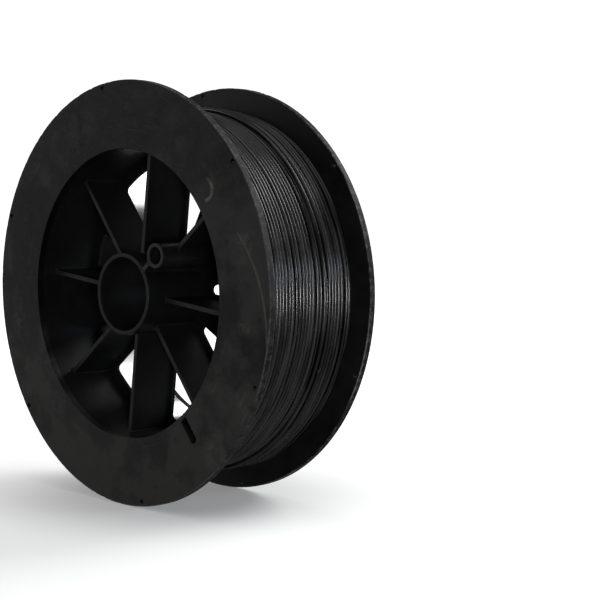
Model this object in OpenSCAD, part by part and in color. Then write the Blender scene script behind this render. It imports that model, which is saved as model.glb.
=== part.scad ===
// Large filament spool standing on its two flange rims.
// The spool's axis lies along Y and +Z is up. The origin is on the axis, half-way
// between the two flanges. Seen from -Y (the hub side) angles run anticlockwise from +X.

/* [Spool] */
// Outer diameter of both flanges
spool_d = 300; // [280:1:320]
// Width over the two flanges
spool_w = 100; // [90:1:110]
// Thickness of each flange
flange_t = 5; // [3:0.5:7]
// Chamfer on the flange rims
rim_chamfer = 0.6; // [0.2:0.1:1]

/* [Drum] */
// Outer diameter of the drum that carries the winding
drum_d = 210; // [204:1:216]
// Wall thickness of the drum
drum_wall = 3; // [2:0.5:4]

/* [Hub] */
// Diameter of the centre bore
bore_d = 52; // [50:0.5:54]
// Wall thickness of the hub tube
hub_wall = 3; // [2:0.5:4]
// Distance from the flange face back to the end of the hub tube
hub_recess = 0.7; // [0.5:0.1:3]

/* [Ribs] */
// Number of radial ribs between hub and drum
rib_count = 8; // [6:1:10]
// Thickness of each rib
rib_t = 2.5; // [2:0.5:4]
// Depth of the ribs' front edges behind the flange face
rib_recess = 16; // [10:1:24]
// Angle of the first rib above +X
rib_angle = 38; // [30:1:45]

/* [Web] */
// Thickness of the windowed web just behind the middle of the width
web_t = 3; // [2:0.5:4]
// Radius of the windows' outer edge
window_r = 95; // [88:1:96]
// Distance from a rib's middle to the window beside it
window_gap_rib = 4.3; // [4:0.1:6]
// Distance from the middle line between two ribs to a window
window_gap_mid = 5.6; // [4:0.2:7]
// Corner radius at the windows' inner tips
tip_r = 3.2; // [2:0.1:3.6]
// Corner radius at the windows' outer corners
corner_r = 3; // [2:0.5:4]

/* [Drive boss] */
// Diameter of the drive hole
drive_d = 12; // [8:0.5:13]
// Wall thickness of the boss round the drive hole
drive_wall = 2.8; // [2:0.2:3.2]
// Radius at which the drive hole stands
drive_r = 45; // [43:0.5:50]
// Distance from the flange face back to the end of the boss
drive_recess = 1; // [0.5:0.1:4]

/* [Rim holes and slot] */
// Number of small holes near the rim of each flange
rim_hole_count = 6; // [4:1:12]
// Diameter of the small rim holes
rim_hole_d = 3; // [2:0.2:3.6]
// Distance from the flange's edge in to the centre of the rim holes
rim_hole_inset = 3.5; // [3:0.1:6]
// Width of the radial anchor slot in the hub-side flange
slot_w = 6; // [2:0.5:7]
// Length of the radial anchor slot
slot_len = 19; // [10:1:26]
// Angle of the radial anchor slot
slot_angle = 308.5; // [300:0.5:316]

/* [Winding] */
// Depth of the filament wound on the drum
winding_depth = 28; // [10:1:36]

/* [Hidden] */

spool_r = spool_d / 2;
half_w = spool_w / 2;
drum_r = drum_d / 2;
well_r = drum_r - drum_wall;
bore_r = bore_d / 2;
hub_r = bore_r + hub_wall;
boss_r = drive_d / 2 + drive_wall;
winding_r = min(drum_r + winding_depth, spool_r - 8);
// the web is divided on these two radii: inner ring, panels between windows, outer ring
ring_in_r = drive_r - 1;
ring_out_r = window_r - corner_r - 1;
half_sector = 180 / rib_count;

plastic = [0.10, 0.10, 0.11];
core_plastic = [0.13, 0.13, 0.14];
filament = [0.17, 0.17, 0.18];

// local +Z is the spool's axis towards the hub side, local +Y is up
module upright() { rotate([90, 0, 0]) children(); }
module at_polar(r, a) { rotate([0, 0, a]) translate([r, 0, 0]) children(); }
// solid between two local heights
module slab(z0, z1) { translate([0, 0, z0]) linear_extrude(height = z1 - z0) children(); }
// flat ring
module ring(r_in, r_out) {
    difference() { circle(r = r_out, $fn = 180); circle(r = r_in, $fn = 180); }
}

function unit(a) = [cos(a), sin(a)];
function arc(c, r, a0, a1, n) = [for (i = [0:n]) c + r * unit(a0 + (a1 - a0) * i / n)];
// point at offset h1 along normal angle n1 and at offset h2 along normal angle n2
function meet(n1, h1, n2, h2) =
    let (d = cos(n1) * sin(n2) - sin(n1) * cos(n2))
    [(h1 * sin(n2) - h2 * sin(n1)) / d, (cos(n1) * h2 - cos(n2) * h1) / d];
function polar_angle(p) = atan2(p[1], p[0]);
// centre of a corner circle that touches the outer arc and a window's side
function corner(a, side, hw) =
    let (h = hw + corner_r, s = sqrt(pow(window_r - corner_r, 2) - h * h))
    s * unit(a) + side * h * unit(a + 90);

// one wedge window half a sector wide, at distance wa from its first side and wb from its second
module window(wa, wb) {
    b = half_sector;
    ca = corner(0, 1, wa);
    cb = corner(b, -1, wb);
    tip = meet(90, wa + tip_r, b - 90, wb + tip_r);
    polygon(concat(
        arc(ca, corner_r, -90, polar_angle(ca), 5),
        arc([0, 0], window_r, polar_angle(ca) + 0.5, polar_angle(cb) - 0.5, 7),
        arc(cb, corner_r, polar_angle(cb), b + 90, 5),
        arc(tip, tip_r, b + 90, 270, 7)));
}

// every sector between two ribs has one window, in the half turned away from the drive boss;
// the second one reaches under its rib
module web_outline() {
    difference() {
        ring(hub_r, well_r);
        for (k = [0:rib_count - 1])
            rotate([0, 0, rib_angle + k * 2 * half_sector])
                if (k < rib_count / 2)
                    rotate([0, 0, half_sector]) window(window_gap_mid, k == 1 ? -rib_t / 2 : window_gap_rib);
                else
                    window(window_gap_rib, window_gap_mid);
        at_polar(drive_r, rib_angle) circle(r = boss_r, $fn = 64);
    }
}

// flange disc between two local heights, its outer edges chamfered
module flange_disc(z0, z1) {
    c = rim_chamfer;
    rotate_extrude($fn = 360)
        polygon([[well_r, z0], [spool_r - c, z0], [spool_r, z0 + c],
                 [spool_r, z1 - c], [spool_r - c, z1], [well_r, z1]]);
}

module rim_holes(z0, z1) {
    for (k = [0:rim_hole_count - 1])
        at_polar(spool_r - rim_hole_inset, rib_angle + k * 360 / rim_hole_count)
            translate([0, 0, z0 - 1]) cylinder(r = rim_hole_d / 2, h = z1 - z0 + 2, $fn = 32);
}

module near_flange() {
    z0 = half_w - flange_t;
    color(plastic) upright() difference() {
        flange_disc(z0, half_w);
        rim_holes(z0, half_w);
        rotate([0, 0, slot_angle]) {
            translate([drum_r, -slot_w / 2, z0 - 1])
                cube([slot_len - slot_w / 2, slot_w, flange_t + 2]);
            translate([drum_r + slot_len - slot_w / 2, 0, z0 - 1])
                cylinder(r = slot_w / 2, h = flange_t + 2, $fn = 32);
        }
    }
}

module far_flange() {
    color(plastic) upright() difference() {
        flange_disc(-half_w, flange_t - half_w);
        rim_holes(-half_w, flange_t - half_w);
    }
}

module near_drum_half() {
    color(core_plastic) upright() slab(0, half_w - flange_t) ring(well_r, drum_r);
}

module far_drum_half() {
    color(core_plastic) upright() slab(flange_t - half_w, 0) ring(well_r, drum_r);
}

module hub_tube() {
    color(core_plastic) upright() slab(-web_t, half_w - hub_recess) ring(bore_r, hub_r);
}

// the rib behind the drive boss starts at the boss, the others at the hub
module radial_ribs() {
    color(core_plastic) upright() slab(0, half_w - rib_recess)
        intersection() {
            difference() {
                union() for (i = [0:rib_count - 1])
                    rotate([0, 0, rib_angle + i * 360 / rib_count])
                        translate([i == 0 ? drive_r : 0, -rib_t / 2]) square([spool_r, rib_t]);
                circle(r = hub_r, $fn = 180);
                at_polar(drive_r, rib_angle) circle(r = boss_r, $fn = 64);
            }
            circle(r = well_r, $fn = 180);
        }
}

module drive_boss() {
    color(core_plastic) upright() slab(-web_t, half_w - drive_recess)
        at_polar(drive_r, rib_angle) difference() {
            circle(r = boss_r, $fn = 64);
            circle(r = drive_d / 2, $fn = 64);
        }
}

module boss_link_rib() {
    color(core_plastic) upright() slab(0, half_w - drive_recess)
        difference() {
            rotate([0, 0, rib_angle]) translate([0, -rib_t / 2]) square([drive_r, rib_t]);
            circle(r = hub_r, $fn = 180);
            at_polar(drive_r, rib_angle) circle(r = boss_r, $fn = 64);
        }
}

module web_inner_ring() {
    color(core_plastic) upright() slab(-web_t, 0)
        intersection() { web_outline(); circle(r = ring_in_r, $fn = 180); }
}

module web_panels() {
    color(core_plastic) upright() slab(-web_t, 0)
        intersection() { web_outline(); ring(ring_in_r, ring_out_r); }
}

module web_outer_ring() {
    color(core_plastic) upright() slab(-web_t, 0)
        difference() { web_outline(); circle(r = ring_out_r, $fn = 180); }
}

// envelope of the wound filament, flange to flange
module filament_winding() {
    color(filament) upright() slab(flange_t - half_w, half_w - flange_t) ring(drum_r, winding_r);
}

near_flange();
far_flange();
near_drum_half();
far_drum_half();
hub_tube();
radial_ribs();
drive_boss();
boss_link_rib();
web_inner_ring();
web_panels();
web_outer_ring();
filament_winding();
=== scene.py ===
import math

import bmesh
import bpy
import numpy as np
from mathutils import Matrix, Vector


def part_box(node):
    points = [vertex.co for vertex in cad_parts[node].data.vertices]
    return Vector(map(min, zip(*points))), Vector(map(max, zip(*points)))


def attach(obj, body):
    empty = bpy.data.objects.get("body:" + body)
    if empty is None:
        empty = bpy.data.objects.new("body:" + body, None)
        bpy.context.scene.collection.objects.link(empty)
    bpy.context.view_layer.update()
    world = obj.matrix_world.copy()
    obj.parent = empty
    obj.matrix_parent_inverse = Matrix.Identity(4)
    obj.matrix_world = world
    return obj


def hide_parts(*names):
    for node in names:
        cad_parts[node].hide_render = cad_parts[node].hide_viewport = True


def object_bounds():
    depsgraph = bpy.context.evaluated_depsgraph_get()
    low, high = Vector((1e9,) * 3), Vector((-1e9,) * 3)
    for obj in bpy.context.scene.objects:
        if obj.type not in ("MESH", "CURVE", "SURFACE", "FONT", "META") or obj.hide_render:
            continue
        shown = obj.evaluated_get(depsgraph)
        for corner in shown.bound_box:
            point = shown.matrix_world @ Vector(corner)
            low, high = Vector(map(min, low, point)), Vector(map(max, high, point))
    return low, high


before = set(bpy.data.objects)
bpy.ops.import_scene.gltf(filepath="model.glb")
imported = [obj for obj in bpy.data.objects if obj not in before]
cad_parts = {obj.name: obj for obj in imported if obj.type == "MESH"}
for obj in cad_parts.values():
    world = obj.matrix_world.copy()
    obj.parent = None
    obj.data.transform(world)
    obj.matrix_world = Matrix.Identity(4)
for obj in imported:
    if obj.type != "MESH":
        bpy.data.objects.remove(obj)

CAD_LO, CAD_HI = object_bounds()
MM = 0.001
scene = bpy.context.scene
scene.view_settings.view_transform = "Standard"
scene.view_settings.look = "None"
scene.view_settings.exposure = 0.0
scene.view_settings.gamma = 1.0

# ---------------------------------------------------------------- sizes (mm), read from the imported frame
SPOOL_R = 150.0
HALF_W = CAD_HI.y / MM
lo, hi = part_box("near_flange")
FLANGE_T = (hi.y - lo.y) / MM
lo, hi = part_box("near_drum_half")
DRUM_R = round(max(hi.x, hi.z) / MM, 1)
WELL_R = DRUM_R - 3.0
lo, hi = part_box("hub_tube")
HUB_R = round(max(hi.x, hi.z) / MM, 1)
HUB_NEAR = lo.y / MM
BORE_R = HUB_R - 3.0
lo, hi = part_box("drive_boss")
BOSS_C = ((lo.x + hi.x) / 2 / MM, (lo.z + hi.z) / 2 / MM)
BOSS_NEAR = lo.y / MM
BOSS_R = (hi.x - lo.x) / 2 / MM
DRIVE_R = BOSS_R - 2.8
lo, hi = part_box("radial_ribs")
RIB_FRONT = lo.y / MM
lo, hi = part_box("web_panels")
WEB_T = hi.y / MM
RIB_A = 38.0
SLOT_A = 308.5
RIB_T = 2.5
FLOOR_Z = CAD_LO.z


def link(name, verts, faces):
    me = bpy.data.meshes.new(name)
    me.from_pydata([tuple(v) for v in verts], [], [tuple(f) for f in faces])
    me.update()
    ob = bpy.data.objects.new(name, me)
    scene.collection.objects.link(ob)
    return ob


def finish_mesh(ob, angle=32.0, weld=0.0):
    bm = bmesh.new()
    bm.from_mesh(ob.data)
    if weld:
        bmesh.ops.remove_doubles(bm, verts=bm.verts, dist=weld)
    bmesh.ops.recalc_face_normals(bm, faces=bm.faces)
    lim = math.radians(angle)
    for f in bm.faces:
        f.smooth = True
    for e in bm.edges:
        if len(e.link_faces) == 2:
            e.smooth = e.calc_face_angle(0.0) < lim
    bm.to_mesh(ob.data)
    bm.free()
    ob.data.update()
    return ob


def apply_modifiers(ob):
    dg = bpy.context.evaluated_depsgraph_get()
    me = bpy.data.meshes.new_from_object(ob.evaluated_get(dg))
    ob.modifiers.clear()
    old = ob.data
    ob.data = me
    bpy.data.meshes.remove(old)
    return ob


# ---------------------------------------------------------------- profiles and lathes
def rounded_ring(r0, r1, y0, y1, rad, seg=4, keep=0.25):
    """Closed (r, y) outline of a flat ring. rad = fillets at (r0,y0), (r1,y0), (r1,y1), (r0,y1)."""
    corners = [(r0, y0, 1, 1, 180, 270), (r1, y0, -1, 1, 270, 360),
               (r1, y1, -1, -1, 0, 90), (r0, y1, 1, -1, 90, 180)]
    out = []
    for (r, y, sr, sy, a0, a1), f in zip(corners, rad):
        if f <= 0:
            out.append((r, y))
            continue
        cr, cy = r + sr * f, y + sy * f
        arc = [(cr + f * math.cos(math.radians(a0 + (a1 - a0) * i / seg)),
                cy + f * math.sin(math.radians(a0 + (a1 - a0) * i / seg))) for i in range(seg + 1)]
        # a loop just past each end of the fillet keeps the flat faces' shading flat
        d0 = (arc[0][0] - arc[1][0], arc[0][1] - arc[1][1])
        if abs(d0[0]) > abs(d0[1]):
            pre = (arc[0][0] + math.copysign(keep, d0[0]), arc[0][1])
        else:
            pre = (arc[0][0], arc[0][1] + math.copysign(keep, d0[1]))
        d1 = (arc[-1][0] - arc[-2][0], arc[-1][1] - arc[-2][1])
        if abs(d1[0]) > abs(d1[1]):
            post = (arc[-1][0] + math.copysign(keep, d1[0]), arc[-1][1])
        else:
            post = (arc[-1][0], arc[-1][1] + math.copysign(keep, d1[1]))
        out += [pre] + arc + [post]
    return out


def lathe(name, prof, segs=720, centre=(0.0, 0.0), shift=None):
    """Turns a closed (r, y) outline about the Y axis through centre (x, z). shift(r, y, t) may move a point."""
    n = len(prof)
    verts = []
    for i in range(segs):
        t = 2 * math.pi * i / segs
        c, s = math.cos(t), math.sin(t)
        for r, y in prof:
            if shift:
                r, y = shift(r, y, t)
            verts.append(((centre[0] + r * c) * MM, y * MM, (centre[1] + r * s) * MM))
    faces = []
    for i in range(segs):
        a, b = i * n, ((i + 1) % segs) * n
        for j in range(n):
            k = (j + 1) % n
            faces.append((a + j, b + j, b + k, a + k))
    return link(name, verts, faces)


def arc2(cx, cz, r, a0, a1, n, skip_first=False):
    return [(cx + r * math.cos(math.radians(a0 + (a1 - a0) * i / n)),
             cz + r * math.sin(math.radians(a0 + (a1 - a0) * i / n))) for i in range(1 if skip_first else 0, n + 1)]


def rot2(p, a):
    c, s = math.cos(math.radians(a)), math.sin(math.radians(a))
    return (p[0] * c - p[1] * s, p[0] * s + p[1] * c)


def prism(outline, y0, y1):
    """Vertices and faces of an outline (x, z) extruded along Y, closed."""
    n = len(outline)
    v = [(x * MM, y0 * MM, z * MM) for x, z in outline] + [(x * MM, y1 * MM, z * MM) for x, z in outline]
    f = [tuple(range(n)), tuple(range(2 * n - 1, n - 1, -1))]
    f += [(i, (i + 1) % n, (i + 1) % n + n, i + n) for i in range(n)]
    return v, f


# ---------------------------------------------------------------- node helpers
class Mat:
    def __init__(self, name):
        self.m = bpy.data.materials.new(name)
        self.m.use_nodes = True
        self.t = self.m.node_tree
        self.t.nodes.clear()
        self.out = self.t.nodes.new("ShaderNodeOutputMaterial")
        self.bsdf = self.t.nodes.new("ShaderNodeBsdfPrincipled")
        self.t.links.new(self.bsdf.outputs[0], self.out.inputs[0])
        self.coord = self.t.nodes.new("ShaderNodeTexCoord").outputs["Object"]
        self._polar = None

    def put(self, socket, v):
        if isinstance(v, (int, float)):
            socket.default_value = v
        elif isinstance(v, (tuple, list)):
            socket.default_value = v if len(v) == len(socket.default_value) else tuple(v) + (1.0,)
        else:
            self.t.links.new(v, socket)

    def math(self, op, a, b=None, c=None, clamp=False):
        n = self.t.nodes.new("ShaderNodeMath")
        n.operation = op
        n.use_clamp = clamp
        for i, v in enumerate((a, b, c)):
            if v is not None:
                self.put(n.inputs[i], v)
        return n.outputs[0]

    def noise(self, vec, scale, detail=3.0, rough=0.5, dist=0.0):
        n = self.t.nodes.new("ShaderNodeTexNoise")
        self.t.links.new(vec, n.inputs["Vector"])
        n.inputs["Scale"].default_value = scale
        n.inputs["Detail"].default_value = detail
        n.inputs["Roughness"].default_value = rough
        n.inputs["Distortion"].default_value = dist
        return n.outputs[0]

    def voronoi(self, vec, scale, feature="F1"):
        n = self.t.nodes.new("ShaderNodeTexVoronoi")
        n.feature = feature
        self.t.links.new(vec, n.inputs["Vector"])
        n.inputs["Scale"].default_value = scale
        return n.outputs["Distance"]

    def map(self, v, a, b, c=0.0, d=1.0, smooth=True):
        n = self.t.nodes.new("ShaderNodeMapRange")
        n.interpolation_type = "SMOOTHSTEP" if smooth else "LINEAR"
        self.put(n.inputs[0], v)
        for i, x in enumerate((a, b, c, d)):
            n.inputs[i + 1].default_value = x
        return n.outputs[0]

    def mix(self, fac, a, b):
        n = self.t.nodes.new("ShaderNodeMix")
        n.data_type = "RGBA"
        self.put(n.inputs[0], fac)
        self.put(n.inputs[6], a)
        self.put(n.inputs[7], b)
        return n.outputs[2]

    def vec(self, x, y, z):
        n = self.t.nodes.new("ShaderNodeCombineXYZ")
        for i, v in enumerate((x, y, z)):
            self.put(n.inputs[i], v)
        return n.outputs[0]

    def polar(self):
        """radius (m), angle (rad), y (m), x, z, and the unit direction from the axis"""
        if self._polar is None:
            s = self.t.nodes.new("ShaderNodeSeparateXYZ")
            self.t.links.new(self.coord, s.inputs[0])
            x, y, z = s.outputs
            r = self.math("SQRT", self.math("ADD", self.math("MULTIPLY", x, x), self.math("MULTIPLY", z, z)))
            a = self.math("ARCTAN2", z, x)
            rs = self.math("MAXIMUM", r, 1e-4)
            self._polar = (r, a, y, x, z, self.math("DIVIDE", x, rs), self.math("DIVIDE", z, rs))
        return self._polar

    def band(self, v, mid, half, soft):
        d = self.math("ABSOLUTE", self.math("SUBTRACT", v, mid))
        return self.map(d, half, half + soft, 1.0, 0.0)

    def streaks(self, k_round, k_r, detail=4.0):
        """noise drawn out along circles round the axis"""
        r, a, y, x, z, ux, uz = self.polar()
        v = self.vec(self.math("MULTIPLY", ux, k_round), self.math("MULTIPLY", uz, k_round),
                     self.math("MULTIPLY", r, k_r))
        return self.noise(v, 1.0, detail, 0.6)

    def spot(self, cx, cz, rad, soft):
        r, a, y, x, z, ux, uz = self.polar()
        dx = self.math("SUBTRACT", x, cx * MM)
        dz = self.math("SUBTRACT", z, cz * MM)
        d = self.math("SQRT", self.math("ADD", self.math("MULTIPLY", dx, dx), self.math("MULTIPLY", dz, dz)))
        return d, self.map(d, rad * MM, (rad + soft) * MM, 1.0, 0.0), self.math("ARCTAN2", dz, dx)

    def bump(self, height, strength, dist, normal=None):
        n = self.t.nodes.new("ShaderNodeBump")
        n.inputs["Strength"].default_value = strength
        n.inputs["Distance"].default_value = dist
        self.put(n.inputs["Height"], height)
        if normal is not None:
            self.t.links.new(normal, n.inputs["Normal"])
        return n.outputs[0]


def grey(v, warm=0.0):
    return (v * (1 + warm), v, v * (1 - warm), 1.0)


def moulded_plastic(name, dark, light, rough=(0.42, 0.62), scuffs=None, rim=False, warm=0.0, spec=0.4,
                    grain=1.0, streak=1.0, edge=None, contrast=1.0, gloss_from=None):
    m = Mat(name)
    r, a, y, x, z, ux, uz = m.polar()
    big = m.noise(m.coord, 11.0, 4.0, 0.55, 0.6)
    mid = m.noise(m.coord, 55.0, 5.0, 0.62)
    fine = m.noise(m.coord, 420.0, 3.0, 0.6)
    turned = m.streaks(5.0, 420.0)
    cloud = m.math("ADD", m.math("MULTIPLY", big, 0.55), m.math("MULTIPLY", mid, 0.45))
    f = m.map(cloud, 0.5 - 0.15 / contrast, 0.5 + 0.15 / contrast)
    if scuffs:
        # painted light: the colour is made paler low down and on the left, where more light falls
        painted_light_lean = m.math("ADD", m.math("MULTIPLY", z, -1.0), m.math("MULTIPLY", x, -0.30))
        f = m.math("ADD", f, m.map(painted_light_lean, -0.16, 0.16, -0.60, 0.60, smooth=False), clamp=True)
    col = m.mix(f, grey(dark, warm), grey(light, warm))
    if edge is not None:
        # painted highlight: the plates' front edges are painted pale, for the light their rounded edges catch
        painted_edge_highlight = m.math("MULTIPLY", m.map(y, edge + 0.0003, edge + 0.0007, 1.0, 0.0), m.map(mid, 0.30, 0.55, 0.45, 1.0))
        col = m.mix(painted_edge_highlight, col, grey(0.017))
    # fine circular rubbing marks and light dust
    rub = m.math("MULTIPLY", m.map(turned, 0.56, 0.78), m.map(mid, 0.42, 0.64))
    col = m.mix(m.math("MULTIPLY", rub, 0.35 * streak), col, grey(light * 2.6, warm))
    speck = m.map(m.voronoi(m.coord, 260.0), 0.05, 0.16, 1.0, 0.0)
    speck = m.math("MULTIPLY", speck, m.map(m.noise(m.coord, 38.0, 2.0), 0.56, 0.68))
    col = m.mix(m.math("MULTIPLY", speck, 0.35), col, grey(light * 4.0, warm))
    wear = rub
    if scuffs:
        marks = scuffs(m, fine, mid)
        col = m.mix(marks, col, grey(light * 5.5, warm))
        wear = m.math("MAXIMUM", wear, marks)
    if rim:
        # worn outer corners: a thin pale line on both corners of the rim, broken and chipped
        face = m.map(m.math("ABSOLUTE", y), HALF_W * MM - 0.0010, HALF_W * MM - 0.0003)
        back = m.map(m.math("ABSOLUTE", y), (HALF_W - FLANGE_T) * MM + 0.0003, (HALF_W - FLANGE_T) * MM + 0.0009, 1.0, 0.0)
        corner = m.math("MULTIPLY", m.map(r, 0.14905, 0.14960), m.math("MAXIMUM", face, m.math("MULTIPLY", back, 0.8)))
        chips = m.map(m.noise(m.coord, 240.0, 4.0, 0.75), 0.46, 0.62)
        long_wear = m.map(m.noise(m.coord, 16.0, 3.0, 0.6), 0.38, 0.60)
        band = m.math("MULTIPLY", m.map(r, 0.1496, 0.1499), m.math("MULTIPLY", chips, 0.28))
        amount = m.math("ADD", band, m.math("MULTIPLY", corner, m.math("ADD", m.math("MULTIPLY", long_wear, 0.55),
                                                                      m.math("MULTIPLY", chips, 0.35))), clamp=True)
        col = m.mix(amount, col, grey(0.17, 0.02))
        wear = m.math("MAXIMUM", wear, amount)
    m.t.links.new(col, m.bsdf.inputs["Base Color"])
    rr = m.math("ADD", m.map(m.math("ADD", m.math("MULTIPLY", fine, 0.4), m.math("MULTIPLY", mid, 0.6)), 0.3, 0.7,
                             rough[0], rough[1], smooth=False), m.math("MULTIPLY", wear, 0.12))
    m.t.links.new(rr, m.bsdf.inputs["Roughness"])
    if gloss_from is None:
        m.bsdf.inputs["Specular IOR Level"].default_value = spec
    else:
        # dull round the -X side of the wall, glossy over the rest
        m.t.links.new(m.map(ux, gloss_from - 0.08, gloss_from, 0.03, spec), m.bsdf.inputs["Specular IOR Level"])
    h = m.math("ADD", m.math("MULTIPLY", m.noise(m.coord, 1500.0, 2.0), 0.35 * grain),
               m.math("ADD", m.math("MULTIPLY", mid, 0.4), m.math("MULTIPLY", wear, 0.25)))
    m.t.links.new(m.bump(h, 0.35, 0.00025), m.bsdf.inputs["Normal"])
    return m.m


# rub marks on the hub-side flange, at their places on its face (mm from the axis)
def flange_scuffs(m, fine, mid):
    r, a, y, x, z, ux, uz = m.polar()
    broken = m.map(m.noise(m.coord, 150.0, 4.0, 0.7), 0.40, 0.62)
    marks = None

    def add(v):
        nonlocal marks
        marks = v if marks is None else m.math("MAXIMUM", marks, v)

    # hook-shaped scratch
    d, _, ang = m.spot(88.5, 72.5, 1, 1)
    hook = m.math("MULTIPLY", m.band(d, 0.0072, 0.0006, 0.0012), m.band(ang, -0.15, 1.25, 0.35))
    add(m.math("MULTIPLY", hook, m.math("ADD", m.math("MULTIPLY", broken, 0.45), 0.20)))
    # long arc rubbed in by a turning edge
    d, _, ang = m.spot(49.7, -22.8, 1, 1)
    arc = m.math("MULTIPLY", m.band(d, 0.0969, 0.0003, 0.0010), m.band(ang, 0.36, 0.36, 0.10))
    add(m.math("MULTIPLY", arc, m.math("ADD", m.math("MULTIPLY", broken, 0.16), 0.18)))
    # smudges
    for cx, cz, rad, soft, k in ((125.5, -16.5, 2.5, 5.0, 0.30), (-127.0, -24.0, 3.0, 7.0, 0.20),
                                 (124.0, 36.0, 4.0, 12.0, 0.16), (98.0, -100.0, 5.0, 12.0, 0.16),
                                 (128.0, -70.0, 4.0, 10.0, 0.14), (-50.0, 118.0, 8.0, 22.0, 0.07)):
        _, s, _ = m.spot(cx, cz, rad, soft)
        add(m.math("MULTIPLY", m.math("MULTIPLY", s, broken), k))
    # crossing hairline scratches
    for rot, sc, k in ((0.6, 26.0, 0.16), (-0.9, 19.0, 0.12), (2.2, 33.0, 0.12)):
        u = m.math("ADD", m.math("MULTIPLY", x, math.cos(rot)), m.math("MULTIPLY", z, math.sin(rot)))
        v = m.math("SUBTRACT", m.math("MULTIPLY", z, math.cos(rot)), m.math("MULTIPLY", x, math.sin(rot)))
        n = m.noise(m.vec(m.math("MULTIPLY", u, 9.0), m.math("MULTIPLY", v, sc * 22.0), 0.37), 1.0, 2.0, 0.5)
        line = m.math("MULTIPLY", m.map(n, 0.70, 0.76), m.map(m.noise(m.coord, 21.0 + sc, 2.0), 0.52, 0.66))
        add(m.math("MULTIPLY", line, k))
    return marks


MAT_NEAR = moulded_plastic("hub_side_flange_plastic", 0.0038, 0.0400, (0.46, 0.66), flange_scuffs, True, 0.04, 0.15, 1.0, 1.6, None, 1.7)
MAT_FAR = moulded_plastic("far_flange_plastic", 0.0032, 0.0075, (0.46, 0.62), None, True, -0.02, 0.14, 1.0, 0.6)
MAT_DRUM = moulded_plastic("drum_plastic", 0.0038, 0.0076, (0.46, 0.56), None, False, -0.04, 0.09, 0.6, 0.8)
MAT_DRUM_FAR = moulded_plastic("far_drum_plastic", 0.0045, 0.0085, (0.12, 0.20), None, False, 0.0, 1.0, 0.25, 0.5, None, 1.0, -0.83)
MAT_CORE = moulded_plastic("core_plastic", 0.0036, 0.0078, (0.46, 0.58), None, False, -0.04, 0.09, 0.8, 0.5)
# the rib, hub and boss materials paint a highlight along their front edges
MAT_RIBS = moulded_plastic("rib_plastic", 0.0038, 0.0080, (0.46, 0.58), None, False, -0.04, 0.09, 0.8, 0.5, RIB_FRONT * MM)
MAT_HUB = moulded_plastic("hub_plastic", 0.0028, 0.0060, (0.46, 0.58), None, False, -0.04, 0.07, 0.8, 0.5, HUB_NEAR * MM)
MAT_BOSS = moulded_plastic("boss_plastic", 0.0040, 0.0110, (0.42, 0.56), None, False, -0.02, 0.12, 1.4, 0.5, BOSS_NEAR * MM, 1.3)


def filament_material():
    m = Mat("black_filament")
    r, a, y, x, z, ux, uz = m.polar()
    # each turn differs a little in tone and gloss; the marks along it are drawn out round the spool
    v = m.vec(m.math("MULTIPLY", ux, 2.2), m.math("MULTIPLY", uz, 2.2), m.math("MULTIPLY", y, 330.0))
    turn = m.noise(v, 1.0, 2.0, 0.5)
    v2 = m.vec(m.math("MULTIPLY", ux, 22.0), m.math("MULTIPLY", uz, 22.0), m.math("MULTIPLY", y, 520.0))
    mark = m.noise(v2, 1.0, 4.0, 0.65)
    col = m.mix(m.map(turn, 0.40, 0.60), grey(0.002, 0.02), grey(0.022, 0.02))
    col = m.mix(m.math("MULTIPLY", m.map(mark, 0.60, 0.78), 0.5), col, grey(0.055, 0.0))
    m.t.links.new(col, m.bsdf.inputs["Base Color"])
    rr = m.map(m.math("ADD", m.math("MULTIPLY", turn, 0.5), m.math("MULTIPLY", mark, 0.5)), 0.35, 0.65, 0.17, 0.30, smooth=False)
    m.t.links.new(rr, m.bsdf.inputs["Roughness"])
    m.bsdf.inputs["Specular IOR Level"].default_value = 0.48
    h = m.math("ADD", m.math("MULTIPLY", mark, 0.6), m.math("MULTIPLY", m.noise(m.coord, 900.0, 3.0), 0.4))
    m.t.links.new(m.bump(h, 0.3, 0.0002), m.bsdf.inputs["Normal"])
    return m.m


MAT_FIL = filament_material()


def dress(ob, mat, slot, *nodes):
    ob.data.materials.clear()
    ob.data.materials.append(mat)
    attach(ob, "root")
    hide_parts(*nodes)
    return ob


# ---------------------------------------------------------------- flanges
RNG = np.random.RandomState(11)
NICKS = [(RNG.uniform(0, 2 * math.pi), RNG.uniform(0.004, 0.016), RNG.uniform(0.10, 0.34), RNG.choice((-1, 1)))
         for _ in range(46)]


def nick_shift(sign_near):
    """small dents along the outer corners of a flange rim"""
    def shift(r, y, t):
        if r > SPOOL_R - 0.75:
            d = 0.0
            for a, w, depth, side in NICKS:
                if sign_near * side < 0 and depth < 0.2:
                    continue
                k = abs((t - a * (1 if sign_near > 0 else 0.77) + math.pi) % (2 * math.pi) - math.pi) / w
                if k < 1:
                    d = max(d, depth * (1 - k * k))
            r -= d
        return r, y
    return shift


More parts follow.
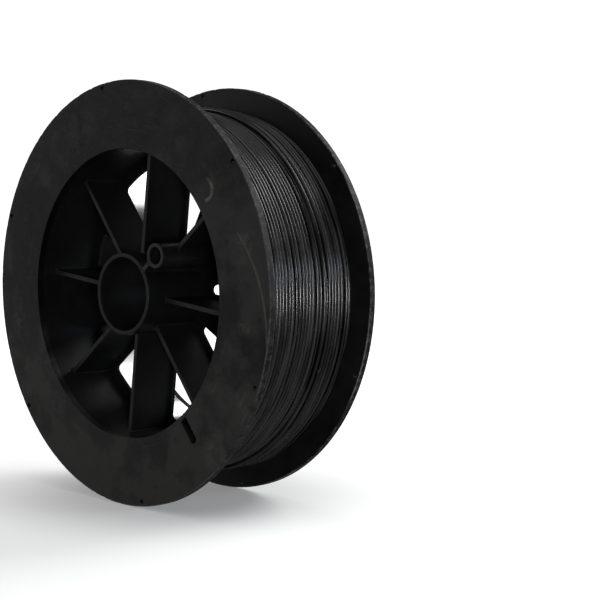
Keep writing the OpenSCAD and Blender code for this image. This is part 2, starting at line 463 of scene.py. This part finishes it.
def flange(name, y0, y1, near):
    inner = (0.35, 0.0) if near else (0.0, 0.35)
    prof = rounded_ring(WELL_R, SPOOL_R, y0, y1, (inner[0], 0.6, 0.6, inner[1]), 4)
    ob = lathe(name, prof, 720, shift=nick_shift(1 if near else -1))
    finish_mesh(ob)
    cutters = []
    for k in range(6):
        t = math.radians(RIB_A + 60 * k)
        rc = SPOOL_R - 3.5
        f = 0.35
        hole = [(0.0, y0 - 2), (1.5 + f + 2, y0 - 2), (1.5, y0 + f), (1.5, y1 - f), (1.5 + f + 2, y1 + 2), (0.0, y1 + 2)]
        c = solid_of_turn("cut_%d" % k, hole, 24, (rc * math.cos(t), rc * math.sin(t)))
        cutters.append(c)
    if near:
        w = 3.0
        out = [(DRUM_R, -w)] + arc2(DRUM_R + 19 - w, 0, w, -90, 90, 12) + [(DRUM_R, w)]
        v, f = prism([rot2(p, SLOT_A) for p in out], y0 - 2, y1 + 2)
        cutters.append(link("cut_slot", v, f))
        flare = [(DRUM_R - 0.35, -w - 0.35)] + arc2(DRUM_R + 19 - w, 0, w + 0.35, -90, 90, 12) + [(DRUM_R - 0.35, w + 0.35)]
        v2, f2 = prism([rot2(p, SLOT_A) for p in flare], y0 - 2, y0)
        n = len(flare)
        v2 = v2[:n] + [(x * MM, (y0 + 0.35) * MM, z * MM) for x, z in [rot2(p, SLOT_A) for p in out]]
        # chamfered mouth: the wide outline at the face, the slot's own outline a little deeper
        v2 = [(x * MM, (y0 - 0.001) * MM, z * MM) for x, z in [rot2(p, SLOT_A) for p in flare]] + v2[n:]
        cutters.append(link("cut_slot_mouth", v2, f2))
    for c in cutters:
        finish_mesh(c)
        md = ob.modifiers.new("cut", "BOOLEAN")
        md.operation = "DIFFERENCE"
        md.solver = "EXACT"
        md.object = c
    apply_modifiers(ob)
    for c in cutters:
        me = c.data
        bpy.data.objects.remove(c)
        bpy.data.meshes.remove(me)
    finish_mesh(ob, 32.0, 1e-7)
    return ob


def solid_of_turn(name, prof, segs, centre):
    """closed solid turned from an open (r, y) outline whose ends lie on the axis"""
    verts, faces = [], []
    inner = prof[1:-1]
    n = len(inner)
    for i in range(segs):
        t = 2 * math.pi * i / segs
        for r, y in inner:
            verts.append(((centre[0] + r * math.cos(t)) * MM, y * MM, (centre[1] + r * math.sin(t)) * MM))
    for i in range(segs):
        a, b = i * n, ((i + 1) % segs) * n
        for j in range(n - 1):
            faces.append((a + j, b + j, b + j + 1, a + j + 1))
    v0 = len(verts)
    verts.append((centre[0] * MM, prof[0][1] * MM, centre[1] * MM))
    verts.append((centre[0] * MM, prof[-1][1] * MM, centre[1] * MM))
    for i in range(segs):
        a, b = i * n, ((i + 1) % segs) * n
        faces.append((v0, b, a))
        faces.append((v0 + 1, a + n - 1, b + n - 1))
    return link(name, verts, faces)


near_flange = flange("hub_side_flange", -HALF_W, -HALF_W + FLANGE_T, True)
dress(near_flange, MAT_NEAR, "flange_plastic", "near_flange")
far_flange = flange("far_side_flange", HALF_W - FLANGE_T, HALF_W, False)
dress(far_flange, MAT_FAR, "flange_plastic", "far_flange")

# ---------------------------------------------------------------- drum halves
near_drum = lathe("hub_side_drum_half", rounded_ring(WELL_R, DRUM_R, -HALF_W + FLANGE_T, 0.0, (0, 0, 0.15, 0.15), 3), 720)
finish_mesh(near_drum)
dress(near_drum, MAT_DRUM, "core_plastic", "near_drum_half")
far_drum = lathe("far_side_drum_half", rounded_ring(WELL_R, DRUM_R, 0.0, HALF_W - FLANGE_T, (0.15, 0.15, 0, 0), 3), 720)
finish_mesh(far_drum)
dress(far_drum, MAT_DRUM_FAR, "core_plastic", "far_drum_half")

# ---------------------------------------------------------------- hub tube, drive boss
hub = lathe("hub_tube_moulding", rounded_ring(BORE_R, HUB_R, HUB_NEAR, WEB_T, (0.5, 0.5, 0.3, 0.3), 4), 256)
finish_mesh(hub)
dress(hub, MAT_HUB, "core_plastic", "hub_tube")

boss = lathe("drive_boss_moulding", rounded_ring(DRIVE_R, BOSS_R, BOSS_NEAR, WEB_T, (0.5, 0.5, 0.3, 0.3), 4), 96, BOSS_C)
finish_mesh(boss)
dress(boss, MAT_BOSS, "core_plastic", "drive_boss")


# ---------------------------------------------------------------- ribs with root fillets
def rib_outline(start_c, start_r, end_r, fillet=1.6, sink=0.5):
    """Outline (u, v) of a rib along +u: from a round of radius start_r at u = start_c out to a wall of radius end_r."""
    h = RIB_T / 2
    f = fillet
    # near end: fillet circle touches the rib's side and the round's outside
    dx = math.sqrt((start_r + f) ** 2 - (h + f) ** 2)
    c1 = (start_c + dx, h + f)
    a_round = math.degrees(math.atan2(-(h + f), -dx))
    near = arc2(c1[0], c1[1], f, a_round % 360, 270, 5)
    # far end: inside of the wall
    dx2 = math.sqrt((end_r - f) ** 2 - (h + f) ** 2)
    c2 = (dx2, h + f)
    a_wall = math.degrees(math.atan2(h + f, dx2))
    far = arc2(c2[0], c2[1], f, -90, a_wall, 5)
    top = near + far
    p0, p1 = top[0], top[-1]
    q0 = (start_c + (p0[0] - start_c) * (start_r - sink) / start_r, p0[1] * (start_r - sink) / start_r)
    q1 = (p1[0] * (end_r + sink) / end_r, p1[1] * (end_r + sink) / end_r)
    top = [q0] + top + [q1]
    return top + [(u, -v) for u, v in reversed(top)]


def link_outline(fillet=1.2, sink=0.5):
    """the short rib between hub and boss, flared where it meets both"""
    h = RIB_T / 2
    f = fillet
    bc = math.hypot(*BOSS_C)
    dx = math.sqrt((HUB_R + f) ** 2 - (h + f) ** 2)
    c1 = (dx, h + f)
    near = arc2(c1[0], c1[1], f, math.degrees(math.atan2(-(h + f), -dx)) % 360, 270, 5)
    dx2 = math.sqrt((BOSS_R + f) ** 2 - (h + f) ** 2)
    c2 = (bc - dx2, h + f)
    far = arc2(c2[0], c2[1], f, -90, math.degrees(math.atan2(-(h + f), dx2)), 5)
    top = near + far
    p0, p1 = top[0], top[-1]
    q0 = (p0[0] * (HUB_R - sink) / HUB_R, p0[1] * (HUB_R - sink) / HUB_R)
    q1 = (bc + (p1[0] - bc) * (BOSS_R - sink) / BOSS_R, p1[1] * (BOSS_R - sink) / BOSS_R)
    top = [q0] + top + [q1]
    return top + [(u, -v) for u, v in reversed(top)]


def bevel_front(ob, y_front, width=0.45):
    """rounds the edges that lie on the plane y = y_front"""
    bm = bmesh.new()
    bm.from_mesh(ob.data)
    es = [e for e in bm.edges if all(abs(v.co.y - y_front * MM) < 1e-6 for v in e.verts)]
    bmesh.ops.bevel(bm, geom=es, offset=width * MM, segments=3, profile=0.5, affect="EDGES", clamp_overlap=True)
    bm.to_mesh(ob.data)
    bm.free()


verts, faces = [], []
bc = math.hypot(*BOSS_C)
for i in range(8):
    out = rib_outline(bc, BOSS_R, WELL_R) if i == 0 else rib_outline(0.0, HUB_R, WELL_R)
    v, f = prism([rot2(p, RIB_A + 45 * i) for p in out], RIB_FRONT, 0.2)
    faces += [tuple(j + len(verts) for j in q) for q in f]
    verts += v
ribs = link("radial_rib_plates", verts, faces)
bevel_front(ribs, RIB_FRONT)
finish_mesh(ribs)
dress(ribs, MAT_RIBS, "core_plastic", "radial_ribs")

v, f = prism([rot2(p, RIB_A) for p in link_outline()], BOSS_NEAR, 0.2)
link_rib = link("boss_link_plate", v, f)
bevel_front(link_rib, BOSS_NEAR)
finish_mesh(link_rib)
dress(link_rib, MAT_BOSS, "core_plastic", "boss_link_rib")

# ---------------------------------------------------------------- windowed web
WIN_R, TIP_R, CORNER_R = 95.0, 3.2, 3.0
GAP_RIB, GAP_MID = 4.3, 5.6
# half sector -> distances from its first and second side to the window in it
WINDOWS = {1: (GAP_MID, GAP_RIB), 3: (GAP_MID, -RIB_T / 2), 5: (GAP_MID, GAP_RIB), 7: (GAP_MID, GAP_RIB),
           8: (GAP_RIB, GAP_MID), 10: (GAP_RIB, GAP_MID), 12: (GAP_RIB, GAP_MID), 14: (GAP_RIB, GAP_MID)}


def window_loop(a0, wa, wb, step=22.5):
    """Window outline from a half sector's first side at angle a0, in four runs: side A, outer edge, side B, tip."""
    def u(a): return (math.cos(math.radians(a)), math.sin(math.radians(a)))
    def corner(a, side, hw):
        h = hw + CORNER_R
        s = math.sqrt((WIN_R - CORNER_R) ** 2 - h * h)
        return (s * u(a)[0] + side * h * u(a + 90)[0], s * u(a)[1] + side * h * u(a + 90)[1])
    b = step
    ca, cb = corner(0, 1, wa), corner(b, -1, wb)
    n1, h1, n2, h2 = 90.0, wa + TIP_R, b - 90.0, wb + TIP_R
    d = u(n1)[0] * u(n2)[1] - u(n1)[1] * u(n2)[0]
    tip = ((h1 * u(n2)[1] - h2 * u(n1)[1]) / d, (u(n1)[0] * h2 - u(n2)[0] * h1) / d)
    pa = math.degrees(math.atan2(ca[1], ca[0]))
    pb = math.degrees(math.atan2(cb[1], cb[0]))
    arc_a = arc2(ca[0], ca[1], CORNER_R, -90, pa, 7)
    outer = arc2(0, 0, WIN_R, pa, pb, 10)
    arc_b = arc2(cb[0], cb[1], CORNER_R, pb, b + 90, 7)
    tip_arc = arc2(tip[0], tip[1], TIP_R, b + 90, 270, 12)
    runs = [[tip_arc[-1], arc_a[0]], arc_a[1:] + outer[1:] + arc_b[1:-1], [arc_b[-1], tip_arc[0]], tip_arc[1:-1]]
    return [[rot2(p, a0) for p in run] for run in runs]


def build_web():
    """Flat ring cut through by the windows, so each window gets its own rounded edge."""
    ob = lathe("windowed_web", rounded_ring(HUB_R - 0.4, WELL_R + 0.4, 0.0, WEB_T, (0, 0, 0, 0)), 360)
    finish_mesh(ob)
    cutters = []
    e = 0.4
    for i, (wa, wb) in WINDOWS.items():
        out = [p for run in window_loop(RIB_A + 22.5 * i, wa, wb) for p in run]
        # outward normals, to let the outline out a little at both faces
        n = len(out)
        nrm = []
        for j in range(n):
            ax, ay = out[j - 1]
            bx, by = out[(j + 1) % n]
            tx, ty = bx - ax, by - ay
            L = math.hypot(tx, ty)
            nrm.append((ty / L, -tx / L))
        area2 = sum(out[j - 1][0] * out[j][1] - out[j][0] * out[j - 1][1] for j in range(n))
        sg = 1.0 if area2 > 0 else -1.0
        def ring_at(grow, y):
            return [((out[j][0] + sg * nrm[j][0] * grow) * MM, y * MM, (out[j][1] + sg * nrm[j][1] * grow) * MM)
                    for j in range(n)]
        steps = [(e + 1.0, -1.0), (e, 0.0), (0.29 * e, 0.29 * e), (0.0, e), (0.0, WEB_T - e),
                 (0.29 * e, WEB_T - 0.29 * e), (e, WEB_T), (e + 1.0, WEB_T + 1.0)]
        verts, faces = [], []
        for g, y in steps:
            verts += ring_at(g, y)
        faces.append(tuple(range(n)))
        faces.append(tuple(range(len(steps) * n - 1, (len(steps) - 1) * n - 1, -1)))
        for q in range(len(steps) - 1):
            for j in range(n):
                k = (j + 1) % n
                faces.append((q * n + j, q * n + k, (q + 1) * n + k, (q + 1) * n + j))
        cutters.append(finish_mesh(link("cut_window_%d" % i, verts, faces)))
    # the drive hole goes on through the web, inside the boss's wall
    r = DRIVE_R + 1.2
    hole = [(0.0, -1.0), (r, -1.0), (r, WEB_T + 1.0), (0.0, WEB_T + 1.0)]
    cutters.append(finish_mesh(solid_of_turn("cut_drive_hole", hole, 64, BOSS_C)))
    for c in cutters:
        md = ob.modifiers.new("cut", "BOOLEAN")
        md.operation = "DIFFERENCE"
        md.solver = "EXACT"
        md.object = c
    apply_modifiers(ob)
    for c in cutters:
        me = c.data
        bpy.data.objects.remove(c)
        bpy.data.meshes.remove(me)
    return finish_mesh(ob, 32.0, 1e-7)


web = build_web()
dress(web, MAT_CORE, "core_plastic", "web_inner_ring", "web_panels", "web_outer_ring")

# ---------------------------------------------------------------- wound filament
FIL_R = 1.425
Y_END = HALF_W - FLANGE_T - FIL_R - 0.1
NTH = 180
BASE_R = 124.6


def lay_winding():
    """Lays turn after turn on the drum. Each turn rests on whatever lies under it, so the turns sit in the
    grooves of the layer below, ride up where they cross it, and leave gaps where they wander."""
    rng = np.random.RandomState(5)
    dia = 2 * FIL_R
    step = dia + 0.02
    # turns, from, to, share of the turns that leave a gap, wander (mm)
    passes = [(30, -Y_END, Y_END, 0.3, 0.03), (29, Y_END, -Y_END, 0.45, 0.22),
              (27, -Y_END + 1.5, Y_END, 0.50, 0.28), (8, Y_END, Y_END - 28.0, 0.6, 0.30)]
    smooth_y = np.exp(-0.5 * (np.arange(-8, 9) / 3.0) ** 2)
    smooth_y /= smooth_y.sum()
    ys, rs, tags = [], [], []
    cross = 0.77
    phase = 0.0
    for p, (turns, a, b, share, amp) in enumerate(passes):
        way = 1.0 if b > a else -1.0
        gaps = rng.exponential(1.0, turns) * (rng.rand(turns) < share)
        spare = abs(b - a) - turns * step
        w = step + gaps * max(spare, 0.0) / max(gaps.sum(), 1e-6)
        edge = a + way * np.concatenate([[0], np.cumsum(w)])
        for t in range(turns):
            cross += rng.normal(0, 0.010)
            th = (np.arange(NTH) + 0.5) / NTH
            c = cross % 1
            s = np.clip((th - (c - 0.05)) / 0.10, 0, 1)
            s = s * s * (3 - 2 * s)
            y = edge[t] + (edge[t + 1] - edge[t]) * (0.75 * s + 0.25 * th)
            turn_no = len(ys) + th
            wob = sum(np.sin(2 * math.pi * (turn_no * f + ph)) * g for f, ph, g in
                      ((0.93, 0.1, 0.5), (1.37, 0.6, 0.4), (2.21, 0.3, 0.3), (0.41, 0.8, 0.5), (3.7, 0.15, 0.14)))
            y = y + wob * amp
            if t:
                # lies beside the turn before it, never on it
                y = way * np.maximum(way * y, way * ys[-1] + step * 0.985)
            ys.append(np.clip(y, -Y_END, Y_END))
            tags.append(p)
    flat = np.convolve(np.pad(np.concatenate(ys), 8, mode="edge"), smooth_y, "valid")
    ys = flat.reshape(-1, NTH)
    tags = np.array(tags)
    smooth_r = np.exp(-0.5 * (np.arange(-7, 8) / 2.6) ** 2)
    smooth_r /= smooth_r.sum()
    rs = np.zeros_like(ys)
    for t in range(len(ys)):
        r = np.full(NTH, BASE_R)
        below = np.where(tags[:t] < tags[t])[0]
        if len(below):
            dy = np.abs(ys[below] - ys[t])
            lift = rs[below] + np.sqrt(np.maximum(dia * dia - dy * dy, 0.0))
            lift[dy >= dia] = 0
            r = np.maximum(r, lift.max(0))
        # turns of the same layer only push up where they are forced on top of each other
        same = np.where(tags[:t] == tags[t])[0]
        if len(same):
            dy = np.abs(ys[same] - ys[t])
            lift = rs[same] + np.sqrt(np.maximum((0.93 * dia) ** 2 - dy * dy, 0.0))
            lift[dy >= 0.93 * dia] = 0
            r = np.maximum(r, np.minimum(lift.max(0), r + dia))
        # a taut strand bridges short hollows
        rr = np.concatenate([r, r, r])
        for _ in range(14):
            rr = np.maximum(rr, 0.5 * (np.roll(rr, 1) + np.roll(rr, -1)) - 0.02)
        rr = np.convolve(rr, smooth_r, "same")
        rs[t] = rr[NTH:2 * NTH]
    f2 = np.convolve(np.pad(rs.reshape(-1), 7, mode="edge"), smooth_r, "valid")
    return flat, f2, np.repeat(tags, NTH)


def tube(name, yy, rr, sides=10):
    """Closed tube along a path that goes round the axis, NTH points a turn."""
    n = len(yy)
    th = (np.arange(n) + 0.5) * 2 * math.pi / NTH - math.pi / 2
    er = np.stack([np.cos(th), np.zeros(n), np.sin(th)], 1)
    centre = er * rr[:, None]
    centre[:, 1] = yy
    t = np.gradient(centre, axis=0)
    t /= np.linalg.norm(t, axis=1)[:, None]
    side = np.cross(er, t)
    side /= np.linalg.norm(side, axis=1)[:, None]
    up = np.cross(t, side)
    ph = np.arange(sides) * 2 * math.pi / sides
    ring = (centre[:, None, :] + FIL_R * (np.cos(ph)[None, :, None] * up[:, None, :] + np.sin(ph)[None, :, None] * side[:, None, :]))
    verts = (ring.reshape(-1, 3) * MM)
    i = np.arange(n - 1)[:, None] * sides
    j = np.arange(sides)[None, :]
    k = (j + 1) % sides
    quads = np.stack([i + j, i + k, i + sides + k, i + sides + j], -1).reshape(-1, 4)
    me = bpy.data.meshes.new(name)
    faces = quads.tolist() + [list(range(sides))[::-1], [(n - 1) * sides + q for q in range(sides)]]
    me.from_pydata(verts.tolist(), [], faces)
    me.update()
    ob = bpy.data.objects.new(name, me)
    scene.collection.objects.link(ob)
    return ob


yy, rr, tags = lay_winding()
# the turns of the first pass are left out of the tube; the grooved body below stands in for them
shown = tags >= 1
wind = tube("filament_turns", yy[shown], rr[shown])
print("winding radius", round(float(rr[shown].max() + FIL_R), 2), [round(float(rr[tags == p].mean() + FIL_R), 2) for p in range(4)])
finish_mesh(wind, 60.0)
dress(wind, MAT_FIL, "filament", "filament_winding")

# the layers below, shown as one grooved body
pitch = 2 * Y_END / 30
prof = [(DRUM_R, -HALF_W + FLANGE_T + 0.02)]
for i in range(31):
    yc = -Y_END + pitch * i
    for q in range(-3, 4):
        d = pitch * 0.5 * q / 3.0 * 0.98
        prof.append((BASE_R + math.sqrt(max(FIL_R ** 2 - d * d * 0.93, 0.02)), yc + d))
prof.append((DRUM_R, HALF_W - FLANGE_T - 0.02))
prof = [(r, min(max(y_, -HALF_W + FLANGE_T + 0.02), HALF_W - FLANGE_T - 0.02)) for r, y_ in prof]
under = lathe("filament_lower_layers", prof, 240)
finish_mesh(under, 50.0, 1e-7)
under.data.materials.append(MAT_FIL)
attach(under, "root")

# ---------------------------------------------------------------- stage
def stage_floor():
    n, size = 24, 9.0
    v = []
    for i in range(n + 1):
        for j in range(n + 1):
            v.append((size * (2 * i / n - 1), size * (2 * j / n - 1), FLOOR_Z - 0.0002))
    f = [(i * (n + 1) + j, (i + 1) * (n + 1) + j, (i + 1) * (n + 1) + j + 1, i * (n + 1) + j + 1)
         for i in range(n) for j in range(n)]
    ob = link("studio_floor", v, f)
    m = Mat("floor_white")
    seen = m.t.nodes.new("ShaderNodeLightPath").outputs["Is Camera Ray"]
    paper = m.mix(m.noise(m.coord, 3.0), (0.80, 0.80, 0.80, 1), (0.82, 0.82, 0.82, 1))
    m.put(m.bsdf.inputs["Base Color"], m.mix(seen, (0.24, 0.24, 0.24, 1), paper))
    m.bsdf.inputs["Roughness"].default_value = 0.9
    m.bsdf.inputs["Specular IOR Level"].default_value = 0.1
    m.bsdf.inputs["Emission Color"].default_value = (1, 1, 1, 1)
    # painted shadow: the floor's glow is turned down round the spool, most near where it stands, and rises to white
    # away from it
    x, z = m.polar()[3], m.polar()[2]
    r = m.math("SQRT", m.math("ADD", m.math("MULTIPLY", x, x), m.math("MULTIPLY", z, z)))
    glow_with_painted_shadow = m.math("SUBTRACT", m.map(r, 0.16, 1.3, 0.50, 1.1), m.map(r, 0.05, 0.17, 0.28, 0.0))
    m.t.links.new(m.math("ADD", m.math("MULTIPLY", seen, m.math("SUBTRACT", glow_with_painted_shadow, 0.06)), 0.06),
                  m.bsdf.inputs["Emission Strength"])
    ob.data.materials.append(m.m)


stage_floor()

world = bpy.data.worlds.new("studio")
scene.world = world
world.use_nodes = True
wt = world.node_tree
wt.nodes.clear()
wo = wt.nodes.new("ShaderNodeOutputWorld")
bg_light = wt.nodes.new("ShaderNodeBackground")
bg_light.inputs[0].default_value = (1, 1, 1, 1)
bg_light.inputs[1].default_value = 0.17
bg_seen = wt.nodes.new("ShaderNodeBackground")
bg_seen.inputs[0].default_value = (1, 1, 1, 1)
bg_seen.inputs[1].default_value = 1.1
lp = wt.nodes.new("ShaderNodeLightPath")
mx = wt.nodes.new("ShaderNodeMixShader")
wt.links.new(lp.outputs["Is Camera Ray"], mx.inputs[0])
wt.links.new(bg_light.outputs[0], mx.inputs[1])
wt.links.new(bg_seen.outputs[0], mx.inputs[2])
wt.links.new(mx.outputs[0], wo.inputs[0])


def area(name, pos, target, size, watts, colour=(1, 1, 1), size_y=None):
    li = bpy.data.lights.new(name, "AREA")
    li.shape = "RECTANGLE"
    li.size = size
    li.size_y = size_y or size
    li.energy = watts
    li.color = colour
    ob = bpy.data.objects.new(name, li)
    scene.collection.objects.link(ob)
    ob.location = pos
    d = Vector(target) - Vector(pos)
    ob.rotation_euler = d.to_track_quat("-Z", "Y").to_euler()
    ob.visible_camera = False
    return ob


area("top_softbox", (0.35, 0.1, 1.5), (0, 0, 0), 1.6, 5.0)
back = area("back_softbox", (0.50, 1.6, 1.15), (0, 0, 0), 1.1, 26.0)
area("right_strip", (1.9, 1.0, 0.38), (0, 0, 0.01), 1.1, 9.0, (0.76, 0.86, 1.0), 0.24)
area("front_fill", (-1.5, -1.7, 0.5), (0, 0, 0), 1.4, 12.0)
core_fill = area("core_fill", (1.0, -0.75, -0.04), (0, 0, 0), 0.18, 6.5)
# the lamp behind leaves the plates in the well alone; the fill leaves the hub-side flange and the floor alone
lit_behind = bpy.data.collections.new("lit_from_behind")
lit_fill = bpy.data.collections.new("lit_by_core_fill")
for ob in (near_flange, far_flange, wind, under, near_drum, far_drum, bpy.data.objects["studio_floor"]):
    lit_behind.objects.link(ob)
for ob in (near_drum, ribs, web, hub, boss, link_rib, far_flange, wind, under):
    lit_fill.objects.link(ob)
back.light_linking.receiver_collection = lit_behind
core_fill.light_linking.receiver_collection = lit_fill
# the plates get a weaker share of the light from behind
only_plates = bpy.data.collections.new("plates_only")
only_plates.objects.link(ribs)
area("plates_back_lamp", (0.50, 1.6, 1.15), (0, 0, 0), 1.1, 4.5).light_linking.receiver_collection = only_plates
# three lamps behind, for the far half of the drum alone: they whiten what shows through the windows
only_far = bpy.data.collections.new("far_drum_only")
only_far.objects.link(far_drum)
for lamp in (area("far_drum_low_lamp", (-0.15, 0.29, -0.147), (-0.15, 0.29, 1.0), 0.24, 2.9),
             area("far_drum_high_lamp", (0.10, 1.5, 1.5), (0, 0, 0), 1.1, 36.0),
             area("far_drum_side_lamp", (-1.0, 1.5, 1.35), (0, 0, 0), 0.5, 8.5)):
    lamp.light_linking.receiver_collection = only_far

# ---------------------------------------------------------------- camera
cam = bpy.data.cameras.new("camera")
cam.sensor_width = 36.0
cam.lens = 82.39
cam_ob = bpy.data.objects.new("camera", cam)
scene.collection.objects.link(cam_ob)
AZ, EL = math.radians(44.467), math.radians(3.571)
cam_ob.location = (0.76692, -0.65184, 0.05615)
look = Vector((-math.sin(AZ) * math.cos(EL), math.cos(AZ) * math.cos(EL), -math.sin(EL)))
cam_ob.rotation_euler = look.to_track_quat("-Z", "Y").to_euler()
cam.clip_start = 0.01
cam.clip_end = 100.0
scene.camera = cam_ob

bpy.context.view_layer.update()
